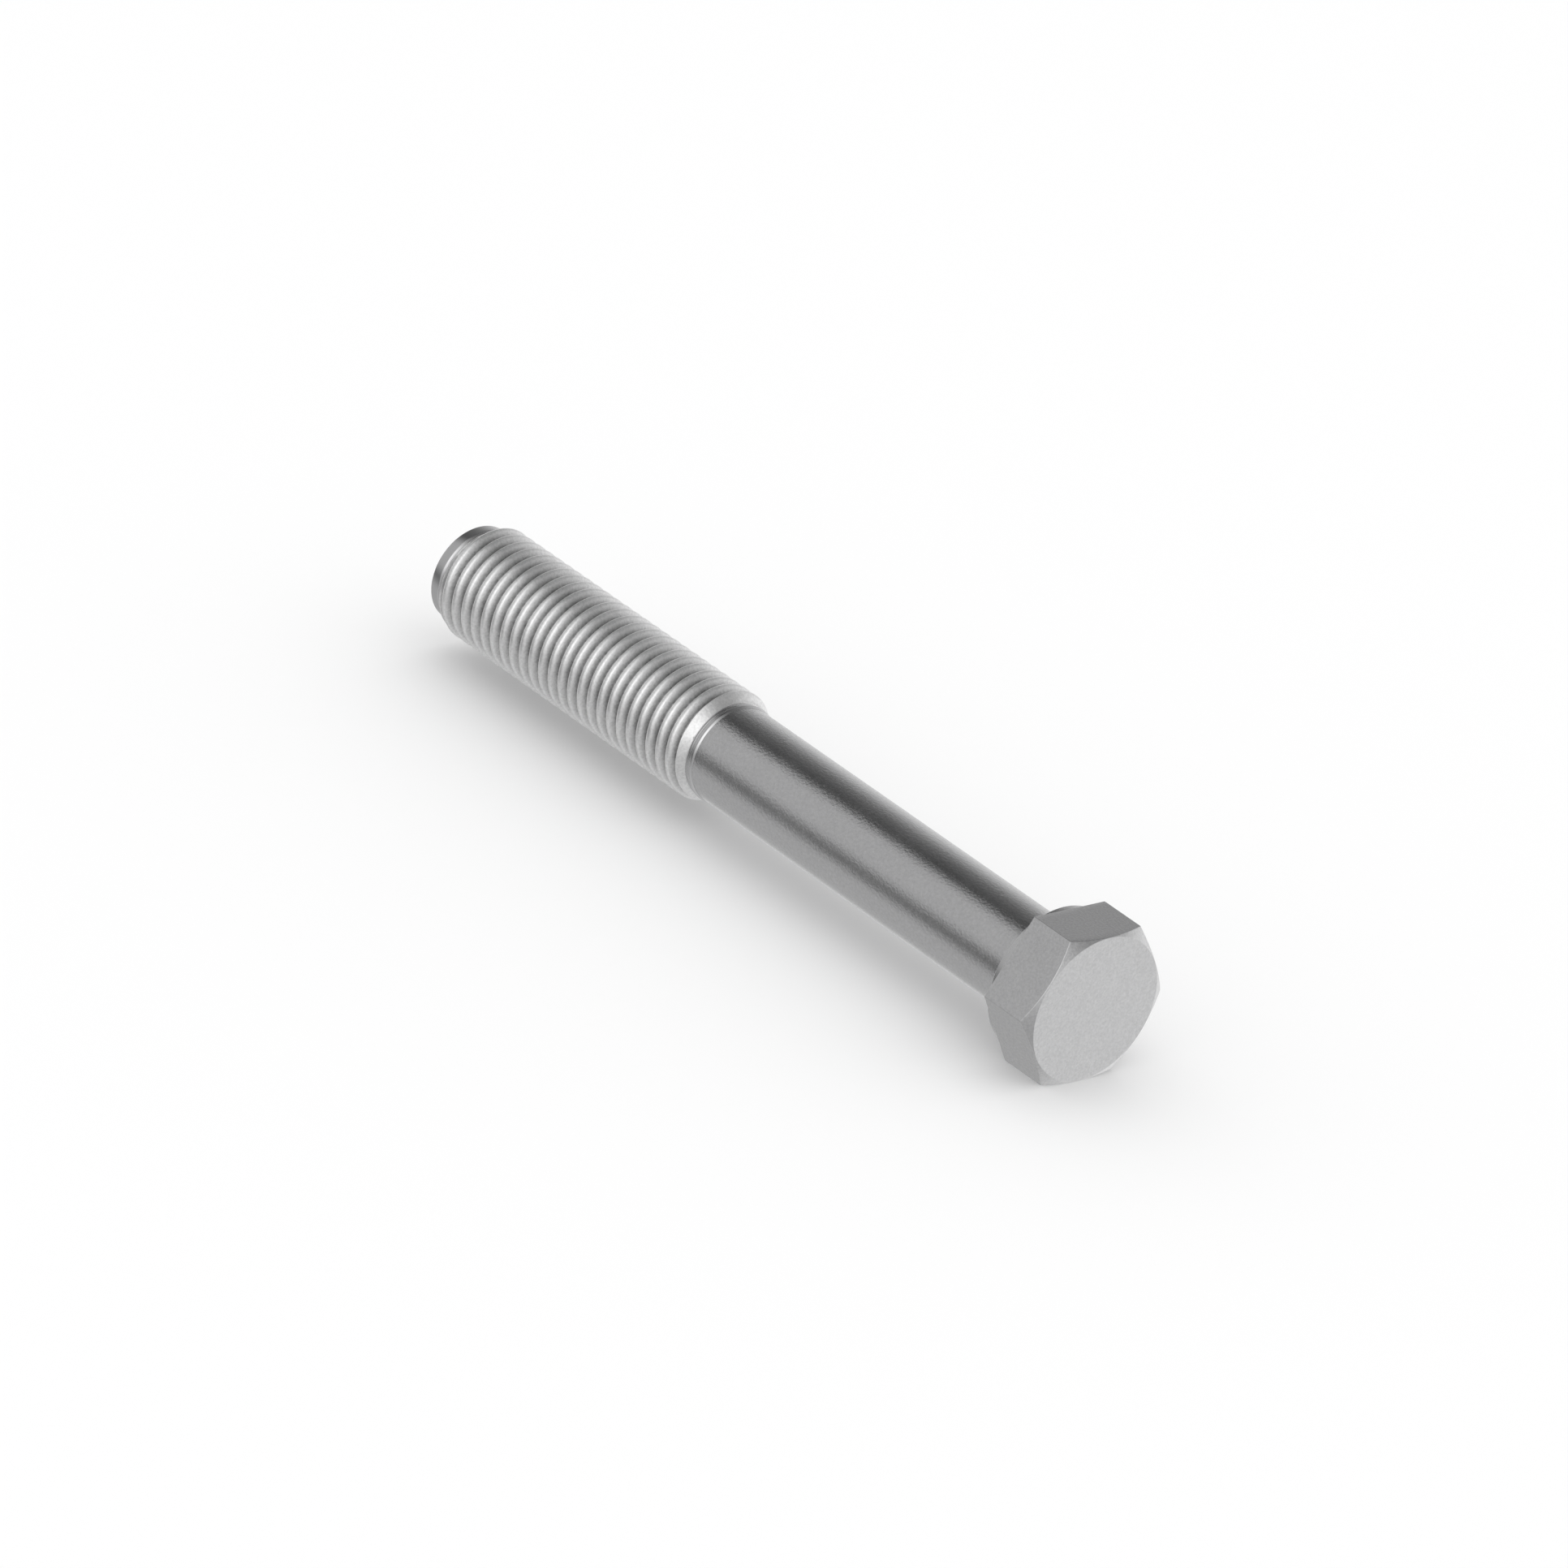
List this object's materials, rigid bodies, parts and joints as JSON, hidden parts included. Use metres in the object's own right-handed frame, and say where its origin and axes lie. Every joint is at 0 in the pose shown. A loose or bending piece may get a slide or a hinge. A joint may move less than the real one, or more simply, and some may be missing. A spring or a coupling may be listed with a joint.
{
  "type": "hex bolt",
  "caption": "Long hexagon-head bolt with a washer face, a plain reduced shank, a relief neck, a coarse right-hand thread and a plain point.",
  "frame": {"origin": "on the bolt's axis, in the plane of the bearing face under the head", "axes": "+X along the axis towards the top of the head, -X towards the point; +Z out of one of the six flats, so the bolt lies on the flat that faces -Z; right-handed, metres"},
  "size_m": [0.1875, 0.0346, 0.03],
  "materials": {
    "head_steel": "satin, fine forged grain",
    "turned_steel": "satin, turned",
    "shank_steel": "satin, drawn",
    "thread_steel": "bright, rolled"
  },
  "bodies": {
    "root": {"hex_head": "head_steel", "washer_face": "turned_steel", "shank": "shank_steel", "relief_neck": "turned_steel", "thread": "thread_steel", "point": "turned_steel"}
  },
  "joints": []
}
